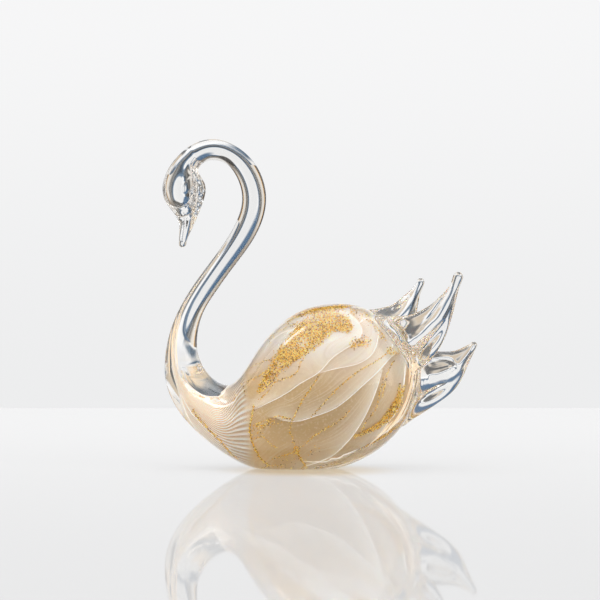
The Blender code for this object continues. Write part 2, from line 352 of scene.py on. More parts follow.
# Lines of gold leaf, one flake wide.
GOLD_VEINS = (
    ((254, 405), (252, 415), (250, 429), (252, 440), (256, 450), (262, 459), (270, 465)),
    ((292, 421), (290, 430), (293, 440), (296, 450), (301, 459), (306, 466)),
    ((319, 375), (311, 388), (303, 399), (297, 410), (292, 421)),
    ((392, 349), (373, 363), (359, 371), (347, 380), (332, 394), (319, 408), (311, 417)),
    ((383, 378), (379, 394), (376, 407), (366, 421), (361, 431)),
    ((349, 411), (338, 421), (319, 432), (304, 444), (291, 452), (272, 458)),
    ((241, 384), (254, 379), (267, 371)),
    ((246, 372), (251, 368), (263, 362), (271, 360)),
    ((271, 344), (270, 338), (276, 333), (289, 327), (300, 322)),
    ((286, 322), (289, 325), (301, 323), (309, 320)),
    ((259, 400), (268, 392), (275, 383), (285, 379), (297, 372), (301, 363), (304, 358)),
    ((255, 424), (266, 424), (272, 418), (288, 418), (294, 420)),
    ((251, 440), (263, 436), (270, 443), (277, 447)),
    ((263, 461), (272, 465), (283, 464)),
    ((393, 361), (388, 370), (384, 384), (382, 398)),
    ((245, 395), (243, 386), (237, 380)),
    ((234, 391), (236, 397), (232, 402)),
    ((193, 409), (201, 420), (210, 430), (220, 440), (229, 451), (238, 459)),
    ((365, 312), (372, 322), (380, 332), (386, 341)),
    ((353, 316), (350, 309), (340, 306), (327, 307), (316, 310)),
)
# Veins of gold leaf laid thickly.
BOLD_VEINS = (
    ((193, 409), (201, 420), (210, 430), (220, 440), (229, 451), (238, 459)),
    ((254, 405), (252, 415), (250, 429), (252, 440), (256, 450), (262, 459), (268, 464)),
    ((296, 449), (301, 458), (306, 466)),
    ((399, 384), (396, 398), (388, 412), (376, 424), (362, 432)),
)
# Patches of gold leaf: how many flakes, and along each patch its middle and half its width.
GOLD_PATCHES = (
    (1100, ((258, 393, 2), (263, 387, 4), (271, 376, 6), (281, 362, 9), (290, 351, 11))),
    (6600, ((282, 362, 7), (291, 352, 10), (302, 341, 13), (312, 332, 14), (323, 325, 12),
            (335, 322, 9), (345, 325, 8), (350, 331, 4))),
    (1250, ((403, 386, 1), (399, 398, 3), (393, 408, 4.2), (385, 419, 3.6), (376, 426, 2.6),
           (366, 431, 1.8), (354, 436, 1))),
    (170, ((351, 347, 4), (360, 341, 6), (370, 344, 4))),
    (110, ((336, 309, 3), (350, 309, 4), (362, 315, 4), (374, 327, 4), (384, 338, 3))),
    (90, ((250, 432, 4), (258, 428, 6), (270, 422, 5), (290, 420, 3))),
    (60, ((281, 462, 5), (300, 455, 6), (320, 449, 5))),
    (40, ((293, 451, 3), (299, 447, 4))),
    (90, ((388, 352, 4), (394, 350, 5), (402, 352, 3))),
)
# A pale spot in the largest patch: its middle and its reach in pixels, and the share left out.
BARE_SPOT = ((303, 344), 6.0, 0.75)
# Champagne lines in the clear glass of the neck's root and the rump, halfway into the glass,
# and their radii in mm.
CHAMPAGNE_LINES = (
    (0.22, ((196, 268), (184, 294), (176, 320), (172, 345), (173, 368))),
    (0.20, ((202, 262), (189, 290), (180, 318), (176, 345), (178, 370))),
    (0.22, ((193, 268), (181, 296), (173, 323), (169, 350), (170, 376))),
    (0.45, ((410, 352), (410, 366), (408, 384), (404, 398), (395, 416), (384, 431), (368, 446))),
    (0.60, ((413, 356), (413, 370), (411, 386), (407, 400), (398, 418), (386, 434))),
    (0.50, ((417, 360), (416, 374), (414, 388), (409, 403), (400, 420))),
)
THREAD_STEP = 1.6
FLAKE_SIZES = (0.20 * MM, 0.42 * MM)
FLAKE_THICKNESS = 0.05 * MM
FLAKE_LIFTS = (0.25 * MM, 0.9 * MM)
LONGEST_THREAD_STEP = 5 * MM

# Creases worked into the hot head: how deep and how wide in mm, and where they are seen.
HEAD_CREASES = (
    (0.9, 0.9, ((194, 157), (190, 163), (189, 168), (193, 175), (196, 184), (197, 196),
                (196, 206), (193, 214))),
    (1.1, 1.2, ((165, 193), (168, 201), (174, 206), (182, 206), (188, 200), (190, 192))),
    (0.6, 0.7, ((190, 192), (184, 194), (183, 186), (186, 179), (190, 176), (192, 184),
                (190, 192))),
    (0.5, 0.6, ((184, 214), (184, 224), (182, 240))),
    (0.5, 0.8, ((171, 210), (178, 216), (188, 214), (194, 206))),
    (0.4, 0.7, ((201, 176), (198, 184), (202, 190), (198, 197), (201, 203))),
)
HEAD_LUMP_DEPTH = 0.22 * MM
# Creases in the neck's root, where it was laid on the body.
ROOT_CREASES = (
    (0.55, 1.3, ((184, 371), (188, 381), (196, 390), (207, 395.5), (217, 396))),
    (0.20, 0.8, ((181, 368), (188, 375), (197, 379), (206, 378))),
    (0.25, 1.0, ((198, 362), (206, 371), (213, 381), (219, 390))),
)
FEATHER_CREASES = {
    "near_feather": ((0.5, 0.7, ((401, 343), (415, 333), (428, 320), (440, 303), (449, 288))),),
    "far_feather": (),
    "low_feather": (
        (0.6, 0.6, ((423, 368), (436, 362), (450, 361), (457, 367), (449, 374), (428, 379))),
        (0.5, 0.6, ((426, 373), (438, 369), (449, 367))),
    ),
}
# Hollows pressed in the feathers: depth in mm, middle, half length and width in pixels, tilt.
FEATHER_SCOOPS = {
    "near_feather": (1.8, (431, 338), (25, 8.5), 50),
    "far_feather": (1.3, (402, 304), (14, 6), 42),
    "low_feather": (1.7, (433, 392), (21, 9), 29),
}
FEATHER_HOLLOW = 0.3
THROAT_LINE = ((198, 172), (200, 186), (200, 200), (196, 212))
THROAT_REACH = 6.0
# The breast glows in the veil's colour, painted light standing in for light let through it, fading
# out towards the back.
BREAST_PAINTED_GLOW = 0.20
BREAST_PAINTED_GLOW_FADE = (-0.052, -0.036)
# The radius of a thread on a petal's edge, in mm, and how much a bolder one adds.
EDGE_THREAD = (0.07, 0.17)
# Nothing is pressed in further than this share of the way to the middle.
PRESS_LIMIT = 0.75
# The ribs are twisted by how far their station is from this one.
RIB_TURN_END = 32
# A patch's flakes: loose along it, even across it, and a loose fringe.
PATCH_SPREAD = (0.8, 0.92, 0.14)
VEIN_STEP = 0.70
BOLD_VEIN_STEP = 0.20
VEIN_SPREAD = 0.40
FLAKE_TILT = 0.45
FAR_SIDE_SHARE = 0.7


def smooth_through(knots, values, places):
    """A natural cubic spline through values at knots, read at places."""
    steps = np.diff(knots)
    count = len(knots)
    matrix = np.eye(count)
    right = np.zeros((count, values.shape[1]))
    for i in range(1, count - 1):
        matrix[i, i - 1 : i + 2] = steps[i - 1], 2 * (steps[i - 1] + steps[i]), steps[i]
        turn = (values[i + 1] - values[i]) / steps[i] - (values[i] - values[i - 1]) / steps[i - 1]
        right[i] = 6 * turn
    bends = np.linalg.solve(matrix, right)
    k = np.clip(np.searchsorted(knots, places) - 1, 0, count - 2)
    step = steps[k][:, None]
    before = (places - knots[k])[:, None]
    after = step - before
    curved = (bends[k + 1] * before**3 + bends[k] * after**3) / (6 * step)
    ahead = (values[k + 1] / step - bends[k + 1] * step / 6) * before
    return curved + ahead + (values[k] / step - bends[k] * step / 6) * after


def ring_places(start, end, roundings, rings, end_rings):
    """Where rings stand along a form, closer together on its rounded ends."""
    turn = np.linspace(0, math.pi / 2, end_rings + 1)
    first, last = roundings
    opening = start + first * (1 - np.cos(turn))
    middle = np.linspace(start + first, end - last, rings + 1)[1:-1]
    closing = end - last * (1 - np.cos(turn[::-1]))
    return np.concatenate([opening, middle, closing])


def rounding(places, roundings):
    """1 along a form, and falling to 0 at both ends as an ellipse does."""
    first, last = roundings
    into_start = np.clip((places[0] + first - places) / first, 0, 1)
    into_end = np.clip((places - places[-1] + last) / last, 0, 1)
    return np.sqrt((1 - into_start**2) * (1 - into_end**2))


class Track:
    """The line of a form's stations, smooth between them."""

    def __init__(self, stations):
        rows = np.array([(*low, *high, wide, side) for low, high, wide, _, side in stations])
        rows = rows * SHARE
        detail = np.array([[station[3]] for station in stations])
        centres = (rows[:, 0:2] + rows[:, 2:4]) / 2
        halves = (rows[:, 2:4] - rows[:, 0:2]) / 2
        self.knots = np.concatenate([[0], np.cumsum(np.hypot(*np.diff(centres, axis=0).T))])
        self.values = np.column_stack([centres, halves, rows[:, 4:], detail])

    def at(self, places):
        return smooth_through(self.knots, self.values, places)

    def place_of(self, station):
        return np.interp(station, np.arange(len(self.knots)), self.knots)


def ring_points(tracks, sizes, section, points):
    """The points of every ring, as an array of rings by points by 3."""
    angles = np.linspace(0, 2 * math.pi, points, endpoint=False)
    grid = np.empty((len(tracks), points, 3))
    for ring, ((cx, cz, hx, hz, wide, side, detail), size) in enumerate(zip(tracks, sizes)):
        up, across = section(angles, max(detail, 0))
        grid[ring, :, 0] = cx + up * size * hx
        grid[ring, :, 1] = side + across * size * wide / 2
        grid[ring, :, 2] = cz + up * size * hz
    return grid


def solid_mesh(name, verts, faces):
    """A closed mesh with all its faces looking outwards."""
    mesh = bpy.data.meshes.new(name)
    mesh.from_pydata(verts, [], faces)
    build = bmesh.new()
    build.from_mesh(mesh)
    bmesh.ops.recalc_face_normals(build, faces=build.faces[:])
    build.to_mesh(mesh)
    build.free()
    return mesh


def layered(obj, name, values):
    layer = obj.data.attributes.new(name, "FLOAT", "POINT")
    layer.data.foreach_set("value", values.astype(np.float32))


def skin(name, grid):
    """A closed mesh over rings of points, with a single point at either end."""
    rings, points, _ = grid.shape
    inner = grid[1:-1].reshape(-1, 3)
    verts = np.vstack([grid[0, 0], inner, grid[-1, 0]])
    last = len(verts) - 1
    faces = []
    for i in range(points):
        j = (i + 1) % points
        faces.append((0, 1 + j, 1 + i))
        for ring in range(rings - 3):
            low, high = 1 + ring * points, 1 + (ring + 1) * points
            faces.append((low + i, low + j, high + j, high + i))
        low = 1 + (rings - 3) * points
        faces.append((last, low + i, low + j))
    return bpy.data.objects.new(name, solid_mesh(name, verts.tolist(), faces))


def pinched_section(angles, pinch):
    up = np.sin(angles)
    low = np.maximum(-up, 0) ** 0.7
    return up, np.cos(angles) * (1 - pinch * np.sin(math.pi / 2 * low) ** 2)


def leaf_section(angles, hollow):
    up = np.sin(angles)
    across = np.cos(angles)
    full = np.copysign(np.abs(across) ** FEATHER_EDGE, across)
    return up, full * (1 - hollow * np.sin(math.pi * up) ** 2)


SWAN_TRACK = Track([(*station, 0.0) for station in SWAN])


def shown(obj):
    bpy.context.scene.collection.objects.link(obj)
    return obj


def tree_of(obj):
    build = bmesh.new()
    build.from_mesh(obj.data)
    tree = BVHTree.FromBMesh(build)
    build.free()
    return tree


def smooth_step(low, high, value):
    t = np.clip((value - low) / (high - low), 0, 1)
    return t * t * (3 - 2 * t)


def sight(pixel):
    """The way of the camera's line of sight through a pixel."""
    across, down = pixel
    return Vector((across - PIXELS / 2, FOCAL_PIXELS, PIXELS / 2 - down)).normalized()


def bent(way, normal):
    """A ray's way after it has entered the glass."""
    cosine = -way.dot(normal)
    share = 1 / GLASS_IOR
    inside = math.sqrt(1 - share**2 * (1 - cosine**2))
    return (way * share + normal * (share * cosine - inside)).normalized()


def into_glass(pixel, glass):
    """Where the line of sight through a pixel enters the glass, and its way there."""
    way = sight(pixel)
    entry, normal, _, _ = glass.ray_cast(CAMERA_PLACE, way)
    if entry is None:
        return None
    return entry, bent(way, normal)


def seen_on(pixel, glass, inner):
    """The place and normal on an inner form where the line of sight meets it."""
    ray = into_glass(pixel, glass)
    if ray is None:
        return None
    place, normal, _, _ = inner.ray_cast(*ray)
    if place is None:
        return None
    return place, normal


def seen_halfway(pixel, glass):
    """Where the line of sight through a pixel crosses the swan's middle plane."""
    ray = into_glass(pixel, glass)
    if ray is None:
        return None
    entry, way = ray
    return entry - way * (entry.y / way.y), Vector((0, -1, 0))


def curve_through(points, step):
    """Points a step apart along a smooth curve, and the ways along it."""
    points = np.array(points, dtype=float)
    knots = np.concatenate([[0], np.cumsum(np.linalg.norm(np.diff(points, axis=0), axis=1))])
    places = np.linspace(0, knots[-1], max(int(knots[-1] / step), 3))
    curve = smooth_through(knots, points, places)
    ways = np.gradient(curve, axis=0)
    return curve, ways / np.linalg.norm(ways, axis=1, keepdims=True)


def beside(points, curve, ways):
    """How far points lie to the right of a curve, and how far past its ends."""
    apart = points[:, None, :] - curve[None, :, :]
    nearest = np.argmin((apart**2).sum(axis=2), axis=1)
    offset = apart[np.arange(len(points)), nearest]
    way = ways[nearest]
    right = offset[:, 1] * way[:, 0] - offset[:, 0] * way[:, 1]
    past = np.abs(offset[:, 0] * way[:, 0] + offset[:, 1] * way[:, 1])
    return right, past


def pixels_of(points):
    """The pixels where points are seen with no glass in the way, the far side as the near."""
    away = -np.abs(points[:, 1]) - CAMERA_PLACE.y
    across = PIXELS / 2 + FOCAL_PIXELS * (points[:, 0] - CAMERA_PLACE.x) / away
    down = PIXELS / 2 - FOCAL_PIXELS * (points[:, 2] - CAMERA_PLACE.z) / away
    return np.column_stack([across, down])


def creases_at(seen, creases):
    """How deep creases go at pixels."""
    pressed = np.zeros(len(seen))
    for depth, width, line in creases:
        right, past = beside(seen, *curve_through(line, 1.0))
        apart = np.hypot(right, past) * PIXEL_SIZE / (width * MM)
        pressed += depth * MM * np.exp(-(apart**2))
    return pressed


def scoop_at(seen, scoop):
    """How deep a long round hollow goes at pixels."""
    depth, middle, reach, tilt = scoop
    turn = math.radians(tilt)
    away = seen - np.array(middle)
    along = (away[:, 0] * math.cos(turn) - away[:, 1] * math.sin(turn)) / reach[0]
    aside = (away[:, 0] * math.sin(turn) + away[:, 1] * math.cos(turn)) / reach[1]
    return depth * MM * np.maximum(1 - along**2 - aside**2, 0) ** 1.5


def throat_lumps_at(seen):
    right, past = beside(seen, *curve_through(THROAT_LINE, 1.0))
    throat = np.exp(-((np.hypot(right, past) / THROAT_REACH) ** 2))
    lumps = np.sin(seen[:, 0] * 1.45 + 1.0) * np.sin(seen[:, 1] * 1.1 + seen[:, 0] * 0.6)
    return throat * HEAD_LUMP_DEPTH * (1 + lumps)


def pressed_in(grid, tracks, depth_at):
    """The rings with their sides pressed towards the middle as deep as asked."""
    flat = grid.reshape(-1, 3)
    out = flat[:, 1] - np.repeat(tracks[:, 5], grid.shape[1])
    depth = np.minimum(depth_at(pixels_of(flat)), PRESS_LIMIT * np.abs(out))
    flat[:, 1] -= np.sign(out) * depth
    return flat.reshape(grid.shape)


def swan_places(roundings):
    """Where the swan's rings stand, closest together on its head and at the neck's root."""
    first, last = roundings
    turn = np.linspace(0, math.pi / 2, SWAN_END_RINGS + 1)
    end = SWAN_TRACK.knots[-1]
    stops = [first, *[SWAN_TRACK.place_of(station) for station in RING_STOPS], end - last]
    opening = first * (1 - np.cos(turn))
    closing = end - last * (1 - np.cos(turn[::-1]))
    stretches = [
        np.linspace(low, high, count + 1)[1:]
        for low, high, count in zip(stops, stops[1:], RING_COUNTS)
    ]
    return np.concatenate([opening, *stretches, closing[1:]])


def head_depth_at(seen):
    return creases_at(seen, HEAD_CREASES) + throat_lumps_at(seen)


def root_depth_at(seen):
    return creases_at(seen, ROOT_CREASES)


def swan_form():
    roundings = [share * SHARE for share in SWAN_ROUNDINGS]
    places = swan_places(roundings)
    sizes = rounding(places, roundings)
    tracks = SWAN_TRACK.at(places)
    grid = ring_points(tracks, sizes, pinched_section, SWAN_POINTS)
    head, neck, root = np.searchsorted(places, [SWAN_TRACK.place_of(stop) for stop in RING_STOPS])
    grid[1:head] = pressed_in(grid[1:head], tracks[1:head], head_depth_at)
    grid[neck:root] = pressed_in(grid[neck:root], tracks[neck:root], root_depth_at)
    grid[:, :, 2] = np.maximum(grid[:, :, 2], 0)
    return skin("clear_glass_swan", grid)


def flared(grid, body):
    """The rings of a feather, swollen where they come near the body."""
    centres = grid.mean(axis=1, keepdims=True)
    for ring, centre in zip(grid, centres):
        for point in ring:
            near, normal, _, distance = body.find_nearest(Vector(point))
            outside = distance if (Vector(point) - near).dot(normal) > 0 else 0
            swell = max(1 - outside / ROOT_REACH, 0) ** 2
            out = point - centre[0]
            length = np.linalg.norm(out)
            if length > 0:
                point += out / length * swell * ROOT_FLARE
    return grid


def feather_form(name, body):
    track = Track(FEATHERS[name])
    roundings = [share * SHARE for share in FEATHER_ROUNDINGS]
    places = ring_places(0, track.knots[-1], roundings, FEATHER_RINGS, FEATHER_END_RINGS)
    sizes = rounding(places, roundings)
    tracks = track.at(places)
    tracks[:, 6] *= FEATHER_HOLLOW
    grid = ring_points(tracks, sizes, leaf_section, FEATHER_POINTS)

    def depth_at(seen):
        return creases_at(seen, FEATHER_CREASES[name]) + scoop_at(seen, FEATHER_SCOOPS[name])

    return skin(name, flared(pressed_in(grid, tracks, depth_at), body))


def near_seams(places, surfaces):
    """1 at places on the seams where surfaces meet, and falling to 0 away from them."""
    on = np.zeros(len(places))
    for surface in surfaces:
        on += [surface.find_nearest(place, SEAM_TOLERANCE)[0] is not None for place in places]
    seams = KDTree(int((on > 1).sum()))
    for index, place in enumerate(places[on > 1]):
        seams.insert(place, index)
    seams.balance()
    away = np.array([seams.find(place)[2] for place in places])
    return smooth_step(0, 1, 1 - away / FILLET_REACH)


def evened(mesh, surfaces):
    """The mesh with rounded seams, a hair smaller."""
    count = len(mesh.vertices)
    places = np.empty(count * 3, dtype=np.float32)
    mesh.vertices.foreach_get("co", places)
    places = places.reshape(-1, 3).astype(float)
    weights = near_seams(places, surfaces)
    edges = np.empty(len(mesh.edges) * 2, dtype=np.int32)
    mesh.edges.foreach_get("vertices", edges)
    edges = edges.reshape(-1, 2)
    edges = edges[(weights[edges] > 0).any(axis=1)]
    start, end = np.concatenate([edges, edges[:, ::-1]]).T
    shares = np.maximum(np.bincount(start, minlength=count), 1)
    for _ in range(FILLET_ROUNDS):
        sums = [np.bincount(start, places[end, axis], minlength=count) for axis in range(3)]
        means = np.stack(sums, axis=1) / shares[:, None]
        places += (means - places) * (FILLET_RATE * weights)[:, None]
    mesh.vertices.foreach_set("co", (places * FIT).ravel().astype(np.float32))
    mesh.update()
    return mesh


def clear_glass_swan():
    """The whole outer form, its feathers fused on."""
    swan = shown(swan_form())
    body = tree_of(swan)
    feathers = [shown(feather_form(name, body)) for name in FEATHERS]
    surfaces = [body] + [tree_of(feather) for feather in feathers]
    for feather in feathers:
        modifier = swan.modifiers.new(feather.name, "BOOLEAN")
        modifier.operation = "UNION"
        modifier.solver = "EXACT"
        modifier.object = feather
    fused = swan.evaluated_get(bpy.context.evaluated_depsgraph_get())
    swan_mesh = bpy.data.meshes.new_from_object(fused)
    swan.modifiers.clear()
    swan.data = evened(swan_mesh, surfaces)
    for feather in feathers:
        bpy.data.objects.remove(feather)
    swan.data.shade_smooth()
    return swan


def veil_rings():
    """The veil before it is ribbed, as rings of points, and the station of each ring."""
    rows = np.array(VEIL)
    roundings = [share * SHARE for share in VEIL_ROUNDINGS]
    knots = SWAN_TRACK.place_of(rows[:, 0])
    places = ring_places(knots[0], knots[-1], roundings, VEIL_RINGS, VEIL_END_RINGS)
    start, end, share = smooth_through(knots, rows[:, 1:], places).T
    tracks = SWAN_TRACK.at(places)
    up_to, wide = (end - start) / 2, share * tracks[:, 4]
    middles = (start + end) / 2
    tracks[:, 0:2] += tracks[:, 2:4] * middles[:, None]
    tracks[:, 2:4] *= up_to[:, None]
    tracks[:, 4] = wide
    grid = ring_points(tracks, rounding(places, roundings), round_section, VEIL_POINTS)
    return grid, tracks, np.interp(places, SWAN_TRACK.knots, np.arange(len(SWAN)))


def round_section(angles, _):
    return np.sin(angles), np.cos(angles)


def apparent_pixels(points, glass, inner):
    """The pixels where points on an inner form are seen, the far side's as the near side's."""
    hits = []
    for across in range(*SEEN_ACROSS, SEEN_STEP):
        for down in range(*SEEN_DOWN, SEEN_STEP):
            found = seen_on((across, down), glass, inner)
            if found and found[0].y < 0:
                hits.append((across, down, *found[0]))
    hits = np.array(hits)
    tree = KDTree(len(hits))
    for index, hit in enumerate(hits):
        tree.insert(hit[2:], index)
    tree.balance()
    seen = np.empty((len(points), 2))
    for row, point in enumerate(points):
        near = tree.find_n((point[0], -abs(point[1]), point[2]), SEEN_NEIGHBOURS)
        spread = near[1][2] + near[2][2]
        weights = np.array([math.exp(-((distance / spread) ** 2)) for _, _, distance in near])
        places = hits[[index for _, index, _ in near], 0:2]
        seen[row] = weights @ places / weights.sum()
    return seen


def petal_relief(seen):
    """How deep under a petal's edge points lie and how near before it, from 0 to 1, and a
    number that stays the same along the petals."""
    under = np.zeros(len(seen))
    rise = np.zeros(len(seen))
    pulls = np.zeros(len(seen))
    grain = np.zeros(len(seen))
    for order, (bold, line) in enumerate(PETAL_EDGES):
        right, past = beside(seen, *curve_through(line, 2.0))
        fade = bold * np.exp(-((past / PETAL_END_FADE) ** 2))
        below = smooth_step(-0.8, 0.8, right)
        under = np.maximum(under, fade * below * np.exp(-np.maximum(right, 0) / PETAL_SHADE_REACH))
        rise = np.maximum(rise, fade * (1 - below) * np.exp(right / PETAL_CREST_REACH))
        pull = 1 / (right**2 + past**2 + GRAIN_REACH**2)
        pulls += pull
        grain += pull * (order + np.clip(right, -30, 30) / 60)
    return under, rise, grain / pulls


def veil_form(glass):
    """The veil, pressed into petals and ribs."""
    grid, tracks, stations = veil_rings()
    plain = skin("plain_veil", grid)
    seen = apparent_pixels(grid.reshape(-1, 3), glass, tree_of(plain))
    bpy.data.objects.remove(plain)
    shape = grid.shape[:2]
    under, rise, grain = [values.reshape(shape) for values in petal_relief(seen)]
    angles = np.linspace(0, 2 * math.pi, VEIL_POINTS, endpoint=False)
    turn = RIB_TURN * np.sqrt(np.maximum(RIB_TURN_END - stations, 0))
    wave = 0.5 + 0.5 * np.cos(BREAST_RIBS * (angles[None, :] + turn[:, None]))
    breast = 1 - smooth_step(*BREAST_RIBS_END, stations)[:, None] * np.ones(shape)
    wave = wave**1.5 * breast
    centres = tracks[:, 0:2]
    middle = np.stack([centres[:, 0], tracks[:, 5], centres[:, 1]], axis=1)[:, None, :]
    out = grid - middle
    length = np.maximum(np.linalg.norm(out, axis=2), 1e-6)
    room = np.clip(length / ROOM_FOR_RELIEF, 0, 1)
    relief = PETAL_DEPTH * (0.35 * rise - under) * (1 - breast) + BREAST_RIB_DEPTH * (wave - breast)
    grid = middle + out * (1 + relief * room / length)[:, :, None]
    veil = skin("veil", grid)
    veil.data.shade_smooth()
    layers = {"under": under, "rise": rise, "ribs": wave, "breast": breast, "grain": grain}
    for name, values in layers.items():
        flat = np.concatenate([[values[0, 0]], values[1:-1].ravel(), [values[-1, 0]]])
        layered(veil, name, flat)
    return veil


def traced(line, find):
    """The stretches of a line of pixels that are found in the glass, as places and normals."""
    stretches = [[]]
    for pixel in curve_through(line, THREAD_STEP)[0]:
        found = find(pixel)
        last = stretches[-1]
        if found is None or (last and (found[0] - last[-1][0]).length > LONGEST_THREAD_STEP):
            if last:
                stretches.append([])
            continue
        last.append(found)
    return [stretch for stretch in stretches if len(stretch) > 3]


def add_tube(verts, faces, points, radius, sides=8):
    """A closed tube that narrows towards both ends."""
    first = len(verts)
    count = len(points)
    places = np.array(points)
    ways = np.gradient(places, axis=0)
    for place, way, share in zip(places, ways, np.linspace(0, 1, count)):
        way = way / np.linalg.norm(way)
        side = np.cross(way, (0, 1, 0))
        side = side / np.linalg.norm(side)
        up = np.cross(side, way)
        size = radius * min(1, 6 * share * (1 - share) + 0.15)
        for turn in np.linspace(0, 2 * math.pi, sides, endpoint=False):
            verts.append(tuple(place + size * (math.cos(turn) * side + math.sin(turn) * up)))
    for ring in range(count - 1):
        low, high = first + ring * sides, first + (ring + 1) * sides
        for i in range(sides):
            j = (i + 1) % sides
            faces.append((low + i, low + j, high + j, high + i))
    faces.append(tuple(first + i for i in reversed(range(sides))))
    faces.append(tuple(first + (count - 1) * sides + i for i in range(sides)))


def smoothed(points):
    """Points evened out along their line."""
    places = np.array(points)
    for _ in range(4):
        places[1:-1] = (places[:-2] + 2 * places[1:-1] + places[2:]) / 4
    return places


def both_sides(places):
    mirrored = places * np.array([1, -1, 1])
    return (places, mirrored)


def smooth_piece(name, verts, faces):
    mesh = solid_mesh(name, verts, faces)
    mesh.shade_smooth()
    return shown(bpy.data.objects.new(name, mesh))


def white_threads(glass, veil):
    verts, faces = [], []
    least, more = EDGE_THREAD
    lines = [(least + more * bold, line) for bold, line in PETAL_EDGES] + list(WHITE_THREADS)
    for radius, line in lines:
        for stretch in traced(line, lambda pixel: seen_on(pixel, glass, veil)):
            places = smoothed([place + normal * radius * 0.5 * MM for place, normal in stretch])
            for side in both_sides(places):
                add_tube(verts, faces, side, radius * MM)
    return smooth_piece("white_threads", verts, faces)


def champagne_lines(glass):
    verts, faces = [], []
    for radius, line in CHAMPAGNE_LINES:
        for stretch in traced(line, lambda pixel: seen_halfway(pixel, glass)):
            places = smoothed([place for place, _ in stretch])
            add_tube(verts, faces, places, radius * MM)
    return smooth_piece("champagne_lines", verts, faces)


def patch_pixels(count, spine, rng):
    """Pixels strewn evenly over a patch, with a loose fringe."""
    spine = np.array(spine, dtype=float)
    curve, ways = curve_through(spine[:, 0:2], 1.0)
    lengths = np.linalg.norm(np.diff(spine[:, 0:2], axis=0), axis=1)
    knots = np.concatenate([[0], np.cumsum(lengths)])
    widths = np.interp(np.linspace(0, knots[-1], len(curve)), knots, spine[:, 2])
    rows = rng.choice(len(curve), count, p=widths / widths.sum())
    loose, even, fringe = PATCH_SPREAD
    along = rng.normal(0, loose, count)[:, None]
    across = (rng.uniform(-even, even, count) + rng.normal(0, fringe, count)) * widths[rows]
    way = ways[rows]
    beside_it = np.column_stack([-way[:, 1], way[:, 0]])
    places = curve[rows] + way * along + beside_it * across[:, None]
    middle, reach, share = BARE_SPOT
    bare = share * np.exp(-(np.linalg.norm(places - np.array(middle), axis=1) / reach) ** 4)
    return places[rng.uniform(0, 1, count) > bare]


def vein_pixels(line, step, rng):
    curve = curve_through(line, step)[0]
    return curve + rng.normal(0, VEIN_SPREAD, curve.shape)


def add_flake(verts, faces, place, normal, rng):
    """A small closed flake, lying roughly along the veil."""
    tilt = np.array(normal) + rng.normal(0, FLAKE_TILT, 3)
    tilt /= np.linalg.norm(tilt)
    side = np.cross(tilt, rng.normal(0, 1, 3))
    side /= np.linalg.norm(side)
    other = np.cross(tilt, side)
    first = len(verts)
    for turn in (0.0, 1.5, 3.0, 4.6):
        size = rng.uniform(*FLAKE_SIZES)
        corner = place + size * (math.cos(turn) * side + math.sin(turn) * other)
        verts.append(tuple(corner))
    verts.append(tuple(place + tilt * FLAKE_THICKNESS))
    verts.append(tuple(place - tilt * FLAKE_THICKNESS))
    for i in range(4):
        j = (i + 1) % 4
        faces.append((first + i, first + j, first + 4))
        faces.append((first + j, first + i, first + 5))


def gold_leaf(glass, veil):
    """Flakes strewn in patches and along veins, over the veil, and most of them mirrored behind."""
    rng = np.random.default_rng(7)
    pixels = [patch_pixels(count, spine, rng) for count, spine in GOLD_PATCHES]
    pixels += [vein_pixels(line, VEIN_STEP, rng) for line in GOLD_VEINS]
    pixels += [vein_pixels(line, BOLD_VEIN_STEP, rng) for line in BOLD_VEINS]
    verts, faces = [], []
    for pixel in np.concatenate(pixels):
        found = seen_on(pixel, glass, veil)
        if found is None:
            continue
        place = np.array(found[0] + found[1] * rng.uniform(*FLAKE_LIFTS))
        normal = np.array(found[1])
        add_flake(verts, faces, place, normal, rng)
        if rng.uniform() < FAR_SIDE_SHARE:
            mirror = np.array([1, -1, 1])
            add_flake(verts, faces, place * mirror, normal * mirror, rng)
    leaf = smooth_piece("gold_leaf", verts, faces)
    leaf.data.shade_flat()
    layered(leaf, "shade", np.repeat(rng.uniform(0, 1, len(verts) // 6), 6))
    return leaf


